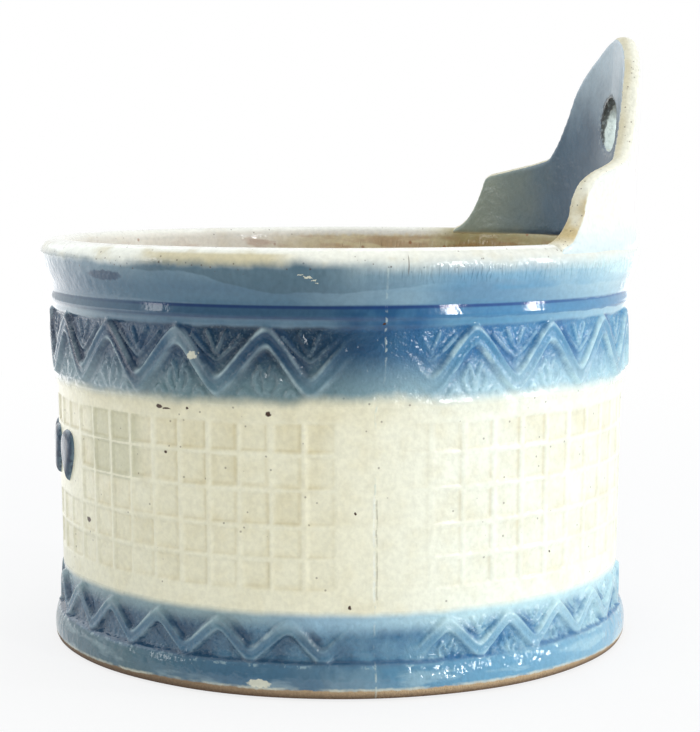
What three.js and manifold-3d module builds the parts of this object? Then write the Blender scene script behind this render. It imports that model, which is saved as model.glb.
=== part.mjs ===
// Moulded stoneware salt crock with a hanging crest: two wall halves luted along the
// side seams, a floor, a shouldered crest with a nail hole, and four raised drops.
// Millimetres, +Z up, origin at the middle of the base, front towards -Y, crest at +Y.
import * as THREE from 'three';
import { mergeVertices } from 'three/addons/utils/BufferGeometryUtils.js';
import Module from 'manifold-3d';

const wasm = await Module();
wasm.setup();

// Overall
const body_radius = 71.5;
const rim_level = 101;
const joint_clearance = 0.3;
const overrun = 2;
const half_facets = 30;
const curve_steps = 3;

// Foot
const foot_stand = 2.1;
const foot_round = 1.2;
const foot_height = 6.9;
const foot_step = 1.3;

// Lower band, sunk a little below the panel
const lower_band_height = 10.2;
const lower_band_depth = 0.4;
const ledge = 0.6;

// Waffle panel, which widens a little towards the top
const panel_flare = 0.7;

// Upper band, proud of the panel
const upper_band_height = 17.4;
const upper_band_stand = 1;

// Plain bead and the groove under the rim
const bead_stand = 2;
const bead_height = 4.1;
const groove_stand = 1.3;
const groove_height = 1;

// Rolled rim: it leaves the groove upright, swells to its widest and turns over
const rim_height = 12.3;
const rim_root_stand = 2.4;
const rim_stand = 4.5;
const rim_widest_drop = 3.4;
const rim_root_rise_share = 0.32;
const rim_swell_drop_share = 0.35;
const rim_brow_share = 0.84;
const rim_brow_drop_share = 0.24;
const rim_top_width = 1;
const rim_top_stand = 0.8;

// Inside: the wall is thinner at the mouth
const wall_thickness = 4.8;
const wall_upright = 16;
const mouth_thickness = 2.1;
const mouth_round = 2.6;

// Floor, dished up to the wall
const floor_thickness = 7;
const floor_cove = 6.5;

// Zigzag ribbons: gaps from their band's edges, upright thickness, relief and flank
const upper_ribbon = { above: -0.4, below: 2.2, upright: 4.4, relief: 1.35, flank: 0.6 };
const lower_ribbon = { above: 0.8, below: 0.3, upright: 2.9, relief: 1.3, flank: 0.5 };
const ribbon_root = 1;

// Where each ribbon's first corner lies, in degrees from the seam, and its number of limbs
const front_upper_run = { first_deg: 9.53, limbs: 19 };
const front_lower_run = { first_deg: 9.3, limbs: 26 };
const back_upper_run = { first_deg: 10, limbs: 20 };
const back_lower_run = { first_deg: 6.8, limbs: 28 };

// Waffle grid of shallow cells between thin ribs, one cell to a facet of the wall, with a
// plain margin at the seams that is counted in cells
const grid_gap_below = 5.8;
const grid_gap_above = 3.6;
const grid_rows = 5;
const grid_rib = 0.8;
const cell_depth = 0.55;
const front_margin = 1;
const back_margin = 2;

// Plain field in the front grid, and the drops on it
const field_columns = 8;
const field_rows = [2, 3];
const drop_count = 4;
const drop_pitch = 13.1;
const drop_width = 9.4;
const drop_height = 13;
const drop_lift = 1.1;
const drop_relief = 1.3;
const drop_flank = 0.7;
const drop_belly_share = 0.22;
const drop_waist_share = 0.12;
const drop_facets = 5;

// Hanging crest: its half widths are measured along its inner face, its rises from the rim
const crest_rise = 51;
const crest_setback = 0.3;
const crest_thickness = 4.4;
const crest_lean = 0.038;
const crest_edge_round = 1.3;
const crest_facet = 6;
const seat_drop = 1.5;
const toe_half_width = 67;
const toe_run = 9.7;
const toe_sweep_shares = { run: 0.59, rise: 0.11 };
const shoulder_rise = 15;
const shoulder_round = 1.8;
const neck_half_width = 33.6;
const neck_rise = 4.9;
const neck_run = 9.3;
const neck_sweep_shares = { run: 0.46, rise: 0.28 };
const brow_rise = 15.5;
const brow_sweep_shares = { run: 0.095, rise: 0.38 };
const point_sweep_shares = { run: 0.63, rise: 0.95 };
const nail_hole_radius = 6.8;
const nail_hole_rise = 28.5;
const nail_hole_facets = 24;

// Radii and levels that follow from the sizes above
const rim_radius = body_radius + rim_stand;
const inner_radius = body_radius - wall_thickness;
const mouth_radius = body_radius - mouth_thickness;
const crest_radius = mouth_radius + crest_setback;
const lower_ground_radius = body_radius - lower_band_depth;
const upper_ground_radius = body_radius + upper_band_stand;
const lower_band_foot = foot_height + foot_step;
const lower_band_top = lower_band_foot + lower_band_height;
const rim_root_level = rim_level - rim_height;
const upper_band_top = rim_root_level - groove_height - bead_height;
const upper_band_foot = upper_band_top - upper_band_height;
const grid_low_level = lower_band_top + grid_gap_below;
const grid_high_level = upper_band_foot - grid_gap_above;
const row_height = (grid_high_level - grid_low_level) / grid_rows;
const seat_level = rim_level - seat_drop;
const crest_level = rim_level + crest_rise;
const half_turn = Math.PI;
const quarter_turn = half_turn / 2;
const degree = half_turn / 180;

// A closed three.js geometry as a manifold solid, and back again
function toSolid(geometry) {
  const bare = geometry.clone();
  bare.deleteAttribute('normal');
  bare.deleteAttribute('uv');
  const merged = mergeVertices(bare);
  const vertProperties = new Float32Array(merged.attributes.position.array);
  const triVerts = new Uint32Array(merged.index.array);
  return new wasm.Manifold(new wasm.Mesh({ numProp: 3, vertProperties, triVerts }));
}

function toGeometry(solid) {
  const mesh = solid.getMesh();
  const geometry = new THREE.BufferGeometry();
  geometry.setAttribute('position', new THREE.BufferAttribute(mesh.vertProperties, 3));
  geometry.setIndex(new THREE.BufferAttribute(mesh.triVerts, 1));
  geometry.computeVertexNormals();
  return geometry;
}

// A profile of radii and heights turned about the upright axis, with a corner at the front
function turned(points) {
  const geometry = new THREE.LatheGeometry(points, 2 * half_facets);
  geometry.rotateX(quarter_turn);
  return geometry;
}

// A closed body through sections with equally many points, capped by its end sections
function lofted(sections) {
  const count = sections[0].length;
  const last = (sections.length - 1) * count;
  const index = [];
  for (let start = 0; start < last; start += count) {
    for (let i = 0; i < count; i += 1) {
      const here = start + i;
      const next = start + ((i + 1) % count);
      index.push(here, here + count, next);
      index.push(next, here + count, next + count);
    }
  }
  for (let i = 1; i < count - 1; i += 1) {
    index.push(0, i, i + 1);
    index.push(last, last + i + 1, last + i);
  }
  const geometry = new THREE.BufferGeometry().setFromPoints(sections.flat());
  geometry.setIndex(index);
  return geometry;
}

// Wraps a flat piece round the crock: x runs along the wall, y up it and z out from it.
// A turn of 0 is the middle of the front, and turns grow towards +X.
function wrapped(geometry, turn, along_radius, radiusAt) {
  const place = geometry.attributes.position;
  for (let i = 0; i < place.count; i += 1) {
    const angle = turn + place.getX(i) / along_radius;
    const level = place.getY(i);
    const radius = radiusAt(level) + place.getZ(i);
    place.setXYZ(i, radius * Math.sin(angle), -radius * Math.cos(angle), level);
  }
  return geometry;
}

function panelRadiusAt(level) {
  const rise_share = (level - lower_band_top) / (upper_band_foot - lower_band_top);
  return body_radius + panel_flare * rise_share;
}

function crestRadiusAt(level) {
  return crest_radius + crest_lean * (level - rim_level);
}

// The point at given shares of the way from one point to another
function between(from, to, shares) {
  const x = from.x + shares.run * (to.x - from.x);
  return new THREE.Vector2(x, from.y + shares.rise * (to.y - from.y));
}

// Up the outside of the wall, from the base to the root of the rim
function outsideSection(line) {
  const foot_radius = body_radius + foot_stand;
  const bead_radius = body_radius + bead_stand;
  line.lineTo(foot_radius - foot_round, 0);
  line.quadraticCurveTo(foot_radius, 0, foot_radius, foot_round);
  line.lineTo(foot_radius, foot_height);
  line.lineTo(lower_ground_radius, lower_band_foot);
  line.lineTo(lower_ground_radius, lower_band_top - ledge);
  line.lineTo(body_radius, lower_band_top);
  line.lineTo(body_radius + panel_flare, upper_band_foot);
  line.lineTo(upper_ground_radius, upper_band_foot + ledge);
  line.lineTo(upper_ground_radius, upper_band_top);
  line.lineTo(bead_radius, upper_band_top + ledge);
  line.lineTo(bead_radius, upper_band_top + bead_height);
  line.lineTo(body_radius + groove_stand, rim_root_level - groove_height / 2);
  line.lineTo(body_radius + rim_root_stand, rim_root_level);
}

// Over the rim and down into the mouth
function rimSection(line) {
  const root_radius = body_radius + rim_root_stand;
  const top_radius = body_radius + rim_top_stand;
  const widest_level = rim_level - rim_widest_drop;
  const swell = widest_level - rim_root_level;
  line.bezierCurveTo(
    root_radius,
    rim_root_level + rim_root_rise_share * swell,
    rim_radius,
    widest_level - rim_swell_drop_share * swell,
    rim_radius,
    widest_level,
  );
  line.quadraticCurveTo(
    top_radius + rim_brow_share * (rim_radius - top_radius),
    rim_level - rim_brow_drop_share * rim_widest_drop,
    top_radius,
    rim_level,
  );
  line.lineTo(top_radius - rim_top_width, rim_level);
  line.quadraticCurveTo(mouth_radius, rim_level, mouth_radius, rim_level - mouth_round);
}

// The wall's whole section, closed down the inside
function wallSection() {
  const line = new THREE.Path();
  line.moveTo(inner_radius, 0);
  outsideSection(line);
  rimSection(line);
  line.lineTo(inner_radius, wall_upright);
  line.closePath();
  return line.getPoints(curve_steps);
}

// A raised zigzag band of straight limbs with sloped flanks. It starts at a low corner near
// the +X seam and runs to the front or the back, as side says.
function ribbon(sizes, run, side, band) {
  const limb_deg = (half_turn / degree - 2 * run.first_deg) / run.limbs;
  const along = (k) => side * (run.first_deg + limb_deg * k) * degree * band.radius;
  const valley = band.foot + sizes.below;
  const peak = band.top - sizes.above;
  const low_edge = (k) => (k % 2 === 0 ? valley : peak - sizes.upright);
  const outline = new THREE.Shape();
  outline.moveTo(along(0), low_edge(0));
  for (let k = 1; k <= run.limbs; k += 1) {
    outline.lineTo(along(k), low_edge(k));
  }
  for (let k = run.limbs; k >= 0; k -= 1) {
    outline.lineTo(along(k), low_edge(k) + sizes.upright);
  }
  const strip = new THREE.ExtrudeGeometry(outline, {
    depth: ribbon_root,
    bevelSegments: 1,
    bevelThickness: sizes.relief,
    bevelSize: sizes.flank,
    bevelOffset: -sizes.flank,
  });
  strip.translate(0, 0, -ribbon_root);
  return toSolid(wrapped(strip, quarter_turn, band.radius, () => band.radius));
}

// The grid's cells as cutters, without those where the wall stays plain
function cellCutters(side, margin, isPlain) {
  const cutters = [];
  const pitch_turn = half_turn / half_facets;
  const width = pitch_turn * body_radius - grid_rib;
  const depth = cell_depth + overrun;
  for (let row = 0; row < grid_rows; row += 1) {
    for (let column = margin; column < half_facets - margin; column += 1) {
      if (isPlain(column, row)) {
        continue;
      }
      const cell = new THREE.BoxGeometry(width, row_height - grid_rib, depth);
      cell.translate(0, grid_low_level + row_height * (row + 1 / 2), depth / 2 - cell_depth);
      const turn = quarter_turn + side * pitch_turn * (column + 1 / 2);
      cutters.push(toSolid(wrapped(cell, turn, body_radius, panelRadiusAt)));
    }
  }
  return wasm.Manifold.union(cutters);
}

function isFieldCell(column, row) {
  const from_middle = Math.abs(column + 1 / 2 - half_facets / 2);
  return from_middle < field_columns / 2 && field_rows.includes(row);
}

// Half of the turned wall with its relief: side is -1 for the front and 1 for the back
function wallHalf(side, upper_run, lower_run, margin, isPlain) {
  const reach = rim_radius + overrun;
  const half_space = new THREE.BoxGeometry(2 * reach, reach, 2 * (rim_level + overrun));
  half_space.translate(0, (side * reach) / 2, 0);
  const upper_band = { radius: upper_ground_radius, foot: upper_band_foot, top: upper_band_top };
  const lower_band = { radius: lower_ground_radius, foot: lower_band_foot, top: lower_band_top };
  return toSolid(turned(wallSection()))
    .intersect(toSolid(half_space))
    .add(ribbon(upper_ribbon, upper_run, side, upper_band))
    .add(ribbon(lower_ribbon, lower_run, side, lower_band))
    .subtract(cellCutters(side, margin, isPlain));
}

function frontWall() {
  return wallHalf(-1, front_upper_run, front_lower_run, front_margin, isFieldCell);
}

// The rim is dressed flat where the crest stands on it
function crestSeat() {
  const width = 2 * (toe_half_width + joint_clearance);
  const depth = 2 * (rim_radius - crest_radius + overrun);
  const steps = Math.ceil(width / crest_facet);
  const seat = new THREE.BoxGeometry(width, seat_drop + overrun, depth, steps);
  seat.translate(0, seat_level + (seat_drop + overrun) / 2, 0);
  return toSolid(wrapped(seat, half_turn, crest_radius, () => crest_radius));
}

function backWall() {
  const plain = wallHalf(1, back_upper_run, back_lower_run, back_margin, () => false);
  return plain.subtract(crestSeat());
}

function floorDisc() {
  const radius = inner_radius - joint_clearance;
  const line = new THREE.Path();
  line.moveTo(0, 0);
  line.lineTo(radius, 0);
  line.lineTo(radius, floor_thickness + floor_cove);
  line.quadraticCurveTo(radius, floor_thickness, radius - floor_cove, floor_thickness);
  line.lineTo(0, floor_thickness);
  return toSolid(turned(line.getPoints(curve_steps)));
}

// The crest's right edge, from the toe over the shoulder and up the neck to the point
function crestEdge() {
  const toe = new THREE.Vector2(toe_half_width, rim_level);
  const shoulder = new THREE.Vector2(toe_half_width - toe_run, rim_level + shoulder_rise);
  const neck = new THREE.Vector2(neck_half_width, shoulder.y + neck_rise);
  const brow = new THREE.Vector2(neck_half_width - neck_run, neck.y + brow_rise);
  const point = new THREE.Vector2(0, crest_level);
  const slope = (neck.y - shoulder.y) / (shoulder.x - neck.x);
  const below = new THREE.Vector2(shoulder.x, shoulder.y - shoulder_round);
  const past = shoulder.clone().add(new THREE.Vector2(-1, slope).multiplyScalar(shoulder_round));
  const toe_sweep = between(toe, below, toe_sweep_shares);
  const neck_sweep = between(neck, brow, neck_sweep_shares);
  const brow_sweep = between(brow, point, brow_sweep_shares);
  const point_sweep = between(brow, point, point_sweep_shares);
  const edge = new THREE.Path();
  edge.moveTo(toe.x, toe.y);
  edge.quadraticCurveTo(toe_sweep.x, toe_sweep.y, below.x, below.y);
  edge.quadraticCurveTo(shoulder.x, shoulder.y, past.x, past.y);
  edge.lineTo(neck.x, neck.y);
  edge.quadraticCurveTo(neck_sweep.x, neck_sweep.y, brow.x, brow.y);
  edge.bezierCurveTo(
    brow_sweep.x,
    brow_sweep.y,
    point_sweep.x,
    point_sweep.y,
    point.x,
    point.y,
  );
  return edge;
}

// The edge as points from one toe to the other
function crestOutline() {
  const right = [new THREE.Vector2(toe_half_width, rim_level)];
  for (const curve of crestEdge().curves) {
    const steps = Math.max(2, Math.ceil(curve.getLength() / crest_facet));
    right.push(...curve.getPoints(steps).slice(1));
  }
  const left = right.slice(0, -1).map((p) => new THREE.Vector2(-p.x, p.y));
  return [...left, ...right.reverse()];
}

// The crest's upright section where its edge is at the given height, with a rounded top
function crestSection(along, top_level) {
  const inner = crest_edge_round;
  const outer = crest_thickness - crest_edge_round;
  const line = new THREE.Path();
  line.moveTo(0, seat_level - overrun);
  line.lineTo(crest_thickness, seat_level - overrun);
  line.lineTo(crest_thickness, top_level - crest_edge_round);
  line.quadraticCurveTo(crest_thickness, top_level, outer, top_level);
  line.lineTo(inner, top_level);
  line.quadraticCurveTo(0, top_level, 0, top_level - crest_edge_round);
  const angle = half_turn + along / crest_radius;
  return line.getPoints(curve_steps).map((p) => {
    const radius = crestRadiusAt(p.y) + p.x;
    return new THREE.Vector3(radius * Math.sin(angle), -radius * Math.cos(angle), p.y);
  });
}

// The crest leans out a little, is pierced for the nail and stands flat on its seat
function hangingCrest() {
  const plate = toSolid(lofted(crestOutline().map((p) => crestSection(p.x, p.y))));
  const bore = nail_hole_radius;
  const bore_level = rim_level + nail_hole_rise;
  const bore_length = 2 * (crest_thickness + overrun);
  const hole = new THREE.CylinderGeometry(bore, bore, bore_length, nail_hole_facets);
  hole.translate(0, crestRadiusAt(bore_level), bore_level);
  const reach = 2 * (rim_radius + overrun);
  const rise = crest_level - seat_level + overrun;
  const above_seat = new THREE.BoxGeometry(reach, reach, rise);
  above_seat.translate(0, 0, seat_level + rise / 2);
  return plate.subtract(toSolid(hole)).intersect(toSolid(above_seat));
}

// One raised drop, wide above and pointed below, with its back bent to the wall
function frontDrop(index) {
  const field_middle = (Math.min(...field_rows) + Math.max(...field_rows) + 1) / 2;
  const middle_level = grid_low_level + row_height * field_middle + drop_lift;
  const belly = drop_height * drop_belly_share;
  const waist = -drop_height * drop_waist_share;
  const half_width = drop_width / 2;
  const half_height = drop_height / 2;
  const outline = new THREE.Shape();
  outline.moveTo(0, -half_height);
  outline.quadraticCurveTo(half_width, waist, half_width, belly);
  outline.quadraticCurveTo(half_width, half_height, 0, half_height);
  outline.quadraticCurveTo(-half_width, half_height, -half_width, belly);
  outline.quadraticCurveTo(-half_width, waist, 0, -half_height);
  const pad = new THREE.ExtrudeGeometry(outline, {
    depth: ribbon_root,
    curveSegments: drop_facets,
    bevelSegments: 1,
    bevelThickness: drop_relief,
    bevelSize: drop_flank,
    bevelOffset: -drop_flank,
  });
  pad.translate(0, middle_level, -ribbon_root);
  const sunk = 2 * (ribbon_root + drop_relief);
  const behind = new THREE.BoxGeometry(2 * drop_width, 2 * drop_height, sunk, drop_facets);
  behind.translate(0, middle_level, joint_clearance - sunk / 2);
  const turn = ((index - (drop_count - 1) / 2) * drop_pitch) / body_radius;
  const bent = toSolid(wrapped(pad, turn, body_radius, panelRadiusAt));
  return bent.subtract(toSolid(wrapped(behind, turn, body_radius, panelRadiusAt)));
}

// Salt-white glaze shading into blue on the walls, blue on the crest, tan inside
function glaze(color, roughness) {
  return new THREE.MeshStandardMaterial({ color, roughness, metalness: 0 });
}

const group = new THREE.Group();

function addPiece(name, solid, material) {
  const mesh = new THREE.Mesh(toGeometry(solid), material);
  mesh.name = name;
  group.add(mesh);
}

const wall_glaze = glaze(0xc3ccc6, 0.3);
const crest_glaze = glaze(0x6f8ba3, 0.35);
const floor_glaze = glaze(0xb08a58, 0.45);
const drop_glaze = glaze(0x2f4a6b, 0.3);

addPiece('front_wall', frontWall(), wall_glaze);
addPiece('back_wall', backWall(), wall_glaze);
addPiece('floor_disc', floorDisc(), floor_glaze);
addPiece('hanging_crest', hangingCrest(), crest_glaze);
for (let index = 0; index < drop_count; index += 1) {
  addPiece(`front_boss_${index + 1}`, frontDrop(index), drop_glaze);
}

export default group;
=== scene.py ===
import math
from collections import namedtuple
from functools import cached_property, partialmethod

import bmesh
import bpy
import numpy as np
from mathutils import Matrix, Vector, noise


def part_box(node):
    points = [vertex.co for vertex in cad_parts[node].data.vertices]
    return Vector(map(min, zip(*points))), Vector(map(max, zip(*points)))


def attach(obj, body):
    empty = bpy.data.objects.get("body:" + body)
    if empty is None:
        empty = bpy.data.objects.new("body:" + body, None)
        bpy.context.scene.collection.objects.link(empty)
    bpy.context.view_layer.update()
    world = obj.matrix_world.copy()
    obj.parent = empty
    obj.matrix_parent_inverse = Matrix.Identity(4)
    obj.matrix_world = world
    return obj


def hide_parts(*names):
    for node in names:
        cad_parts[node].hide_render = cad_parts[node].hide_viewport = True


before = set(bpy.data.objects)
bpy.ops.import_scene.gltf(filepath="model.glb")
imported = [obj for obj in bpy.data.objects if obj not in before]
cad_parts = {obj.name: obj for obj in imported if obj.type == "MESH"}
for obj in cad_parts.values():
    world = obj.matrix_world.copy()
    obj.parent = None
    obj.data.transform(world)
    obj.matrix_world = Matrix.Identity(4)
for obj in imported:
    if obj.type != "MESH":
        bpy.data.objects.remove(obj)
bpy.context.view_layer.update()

# Driving sizes, from the frame
MM = 0.001
RIM_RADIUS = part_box("front_wall")[1].x / MM
RIM_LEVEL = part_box("front_wall")[1].z / MM
CREST_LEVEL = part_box("hanging_crest")[1].z / MM
FLOOR_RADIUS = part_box("floor_disc")[1].x / MM
RIM_STAND = 4.5
BODY_RADIUS = RIM_RADIUS - RIM_STAND
SEAM_TURN = 89
HALF_TURN = 180
FULL_TURN = 360

# Camera: where the photographer stood, and what the lens took in
CAMERA_TURN = 83
CAMERA_DISTANCE = 466.1
CAMERA_HEIGHT = 118.4
CAMERA_PITCH_DOWN = 6.262
CAMERA_YAW_RIGHT = 0.304
LENS = 88.97
SENSOR = 36

# The wall's section, as (stand out from the body's radius, level), taken round in one loop
FOOT_SECTION = [
    (-4.6, 0), (0.9, 0), (1.8, 0.4), (2.15, 1.3), (2.25, 3.2), (2.2, 4.7), (2.0, 5.8), (1.7, 7),
    (1.1, 8), (0.1, 8.5),
]
BAND_SECTION = [
    (-0.3, 9), (-0.3, 17.9), (0, 18.6), (0.3, 40), (0.7, 64.6), (1.3, 66.3), (1.1, 68.2), (1.1, 83.3),
]
BEAD_SECTION = [
    (1.6, 83.7), (1.8, 84.1), (1.7, 85.1), (1.9, 85.4), (2.35, 85.7), (2.35, 86), (1.92, 88.2),
]
RIM_SECTION = [
    (1.85, 88.7), (2.0, 89.4), (2.3, 90.4), (2.9, 91.8), (3.4, 93), (3.8, 94.4), (4.15, 95.8),
    (4.45, 97), (4.4, 98.1), (3.9, 99.2), (3.0, 100.1), (1.9, 100.7), (0.7, 101), (-0.4, 100.95),
    (-1.3, 100.5), (-1.9, 99.7), (-2.1, 98.4),
]
INSIDE_SECTION = [(-2.6, 80), (-3.4, 50), (-4.6, 18)]
CORNER_BLUR = 0.32

# Raised zigzag ribbons: lowest and highest edge, upright width, relief, the dish of their face,
# the width of a flank, how far the ground stands out, how pale the lower edge of falling limbs
# is, from glaze broken over it and a painted highlight, and the levels between which the band's
# relief comes in and goes out
Ribbon = namedtuple("Ribbon", "valley peak upright relief dish flank ground edge_pale shown")
UPPER_RIBBON = Ribbon(68.2, 83.5, 4.5, 1.3, 0.4, 0.85, 1.1, 1, (66.4, 67.4, 83.6, 84.6))
LOWER_RIBBON = Ribbon(8.1, 17.7, 3.2, 1.15, 0.25, 0.8, -0.3, 0.4, (7.7, 8.5, 17.6, 18.6))

# How a ribbon runs: the first valley's angle from the seam, the angle from valley to valley, and
# the share of it that the limb next to the seam takes
Run = namedtuple("Run", "first pitch peak_share")

# The mould's halves: the way angles from the seam run, the first turn, the ribbons' runs, the
# waffle's first rib, pitch and depth, the angles over which cells are worn and ribbons fade, how
# strong the lower leaves are, how pale right edges, grain and sprigs are, and the rust inside
Half = namedtuple(
    "Half",
    "name way start upper lower first_rib rib_pitch cell_depth worn fade lower_leaves "
    "right_pale grain_pale sprig_pale rust",
)
FRONT = Half(
    "front_wall", -1, -90, Run(11.3, 16.94, 0.45), Run(9.3, 13.16, 0.46),
    6.5, 5.96, 0.36, (4.7, 10.7), (3, 11), 0.2, 0.4, 0.12, 0.16, (-78, 8, 30),
)
BACK = Half(
    "back_wall", 1, 90, Run(9.9, 16.9, 0.5), Run(7.3, 12.7, 0.5),
    4, 6.3, 0.3, (0, 26), (5, 14), 1, 0.6, 0.2, 0.3, (225, 30, 60),
)

# Waffle grid between the bands, how tan its cells are, and the plain field of the drops
ROW_LEVELS = [24.2, 31.5, 38.9, 47.2, 55.2, 62.6]
RIB_HALF_WIDTH = 0.5
UPRIGHT_RIB_HALF_WIDTH = 0.6
TAN_SHARE = 0.4
TAN_TOP_ROW = 0.25
TAN_POOLED = 0.6
FIELD_HALF_TURN = 23.9
FIELD_LEVELS = (38.9, 55.2)

# Leaf sprigs beside a ribbon, as strokes of three points: across in shares of half the pitch,
# and up in shares of the height between the ribbon's corners
LEAVES_OVER_VALLEY = [
    [(0.02, 0.46), (0.08, 0.62), (0.2, 0.88)],
    [(0.03, 0.32), (0.3, 0.52), (0.56, 0.8)],
]
CURLS_UNDER_PEAK = [
    [(0.02, 0.08), (0.05, 0.5), (0.16, 0.62)],
    [(0.14, 0.06), (0.36, 0.3), (0.2, 0.5)],
    [(0.4, 0.03), (0.5, 0.2), (0.58, 0.04)],
]
STROKE_SHARE = 0.042
STROKE_RELIEF = 0.55

# How round and how wide a ribbon's corners are, and how softly its limbs' colours meet
CORNER_ROUND = 0.9
CORNER_WIDTH = 1.13
LIMB_BLEND = 0.3

# Mesh spacing on the wall
WALL_COLUMNS = 460
BAND_STEP = 0.43
RIB_STEP = 0.4
CELL_STEP = 1.3
RIM_STEP = 0.75
INSIDE_STEP = 4
RIB_REACH = 1.2
PLAIN_FOOT = 7
PLAIN_RIM = 88.6

GLAZE_IOR = 1.52


class Tone:
    """A value that varies over a surface. Sums on it add their nodes to its recipe."""

    def __init__(self, recipe, socket):
        self.recipe = recipe
        self.socket = socket

    def math(self, operation, other=0.0):
        return self.recipe.math(operation, self, other)

    __add__ = __radd__ = partialmethod(math, "ADD")
    __sub__ = partialmethod(math, "SUBTRACT")
    __mul__ = __rmul__ = partialmethod(math, "MULTIPLY")
    __truediv__ = partialmethod(math, "DIVIDE")
    __mod__ = partialmethod(math, "FLOORED_MODULO")
    __abs__ = partialmethod(math, "ABSOLUTE")
    __gt__ = partialmethod(math, "GREATER_THAN")
    __lt__ = partialmethod(math, "LESS_THAN")

    def __rsub__(self, other):
        return self.recipe.math("SUBTRACT", other, self)

    def step(self, low, high):
        """0 below low, 1 above high and an even S between."""
        sockets = {"Value": self, "From Min": low, "From Max": high}
        return self.recipe.node("ShaderNodeMapRange", {"interpolation_type": "SMOOTHSTEP"}, sockets)

    def fall(self, low, high):
        """1 below low, 0 above high and an even S between."""
        return 1 - self.step(low, high)

    def band(self, low, high, soft):
        """1 between low and high, falling to 0 over soft on both sides."""
        return self.step(low - soft, low) * self.fall(high, high + soft)

    def near(self, middle, inner, outer):
        """1 up to inner away from the middle, falling to 0 at outer."""
        return abs(self - middle).fall(inner, outer)

    def drift(self, reach):
        """Noise, made to wander to both sides of 0."""
        return (self - 0.5) * reach


def tint(red, green, blue):
    """A colour as the eye sees it, 0 to 255, made linear for the shader."""
    linear = [((c / 255 + 0.055) / 1.055) ** 2.4 for c in (red, green, blue)]
    return (*linear, 1)


class Recipe:
    """The nodes of one material or of the world, built by node()."""

    def __init__(self, owner):
        owner.use_nodes = True
        self.owner = owner
        self.tree = owner.node_tree
        self.tree.nodes.clear()

    def node(self, kind, settings=None, sockets=None, output=0):
        """Adds a node: its settings first, then its sockets' values or links."""
        node = self.tree.nodes.new(kind)
        for key, value in (settings or {}).items():
            setattr(node, key, value)
        for key, value in (sockets or {}).items():
            socket = self.find(node.inputs, key)
            if isinstance(value, Tone):
                self.tree.links.new(value.socket, socket)
            else:
                socket.default_value = value
        return Tone(self, self.find(node.outputs, output))

    @staticmethod
    def find(sockets, key):
        if isinstance(key, int):
            return sockets[key]
        return next(s for s in sockets if s.enabled and s.name == key)

    def outputs(self, tone, *names):
        """Outputs, by name, of the node that a tone comes from."""
        return [Tone(self, tone.socket.node.outputs[name]) for name in names]

    def math(self, operation, first, second=0.0):
        return self.node("ShaderNodeMath", {"operation": operation}, {0: first, 1: second})

    def mix(self, share, first, second, kind="MIX"):
        settings = {"data_type": "RGBA", "blend_type": kind}
        return self.node("ShaderNodeMix", settings, {"Factor": share, "A": first, "B": second}, "Result")

    def layers(self, colour, *coats):
        """A colour under coats laid on in turn, each as (how much it covers, its colour)."""
        for share, coat in coats:
            colour = self.mix(share, colour, coat)
        return colour

    @cached_property
    def point(self):
        """The place on the crock in mm."""
        place = self.node("ShaderNodeTexCoord", output="Object")
        return self.node("ShaderNodeVectorMath", {"operation": "SCALE"}, {0: place, "Scale": 1 / MM})

    def place(self):
        """x, y and z in mm."""
        return self.outputs(self.node("ShaderNodeSeparateXYZ", {}, {0: self.point}), "X", "Y", "Z")

    def tone(self, name):
        """A tone that the mesh carries."""
        return self.node("ShaderNodeAttribute", {"attribute_name": name}, output="Fac")

    def noise(self, size, detail=2, stretch=(1, 1, 1)):
        """Noise whose lumps are about size mm across."""
        place = self.node("ShaderNodeVectorMath", {"operation": "MULTIPLY"}, {0: self.point, 1: stretch})
        sockets = {"Vector": place, "Scale": 1 / size, "Detail": detail}
        return self.node("ShaderNodeTexNoise", {}, sockets, "Fac")

    def specks(self, size, radius, share):
        """Round specks: one in a cell of size mm, kept in a share of the cells."""
        sockets = {"Vector": self.point, "Scale": 1 / size}
        cells = self.node("ShaderNodeTexVoronoi", {}, sockets, "Distance")
        (pick,) = self.outputs(cells, "Color")
        kept = self.node("ShaderNodeSeparateColor", {}, {"Color": pick}, "Red") < share
        return cells.fall(radius * 0.5, radius) * kept

    def glazed(self, colour, roughness, height):
        """The finished glaze. Height is the fine relief in mm."""
        bump = self.node("ShaderNodeBump", {}, {"Strength": 1.0, "Distance": MM, "Height": height})
        sockets = {"Base Color": colour, "Roughness": roughness, "IOR": GLAZE_IOR, "Normal": bump}
        return self.finish(self.node("ShaderNodeBsdfPrincipled", {}, sockets, "BSDF"))

    def ray_kinds(self):
        """1 for camera rays, glossy rays and transmission rays."""
        path = self.node("ShaderNodeLightPath")
        return self.outputs(path, "Is Camera Ray", "Is Glossy Ray", "Is Transmission Ray")

    def finish(self, shader, output_kind="ShaderNodeOutputMaterial"):
        output = self.tree.nodes.new(output_kind)
        self.tree.links.new(shader.socket, output.inputs["Surface"])
        return self.owner


def new_recipe(name):
    return Recipe(bpy.data.materials.new(name))


def length(first, second):
    """How far a point is from the middle, by two of its coordinates."""
    return (first * first + second * second).math("SQRT")


def smooth_step(x, low, high):
    """0 below low, 1 above high and an even S between, for numbers and for tones."""
    if isinstance(x, Tone):
        return x.step(low, high)
    share = np.clip((x - low) / (high - low), 0, 1)
    return share * share * (3 - 2 * share)


def plateau(x, rise_from, rise_to, fall_from, fall_to):
    """1 between rise_to and fall_from, 0 outside the other two."""
    return smooth_step(x, rise_from, rise_to) * (1 - smooth_step(x, fall_from, fall_to))


def offset_from_seam(half, turn):
    return (turn - SEAM_TURN) * half.way


def seam_distance(offset):
    """Degrees to the nearer of the two seams."""
    return HALF_TURN / 2 - abs(offset - HALF_TURN / 2)


def arc_mm(degrees, radius=BODY_RADIUS):
    return math.radians(degrees) * radius


def ribbon_rise(ribbon):
    """How far the ribbon's middle line climbs from valley to peak."""
    return ribbon.peak - ribbon.upright - ribbon.valley


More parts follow.
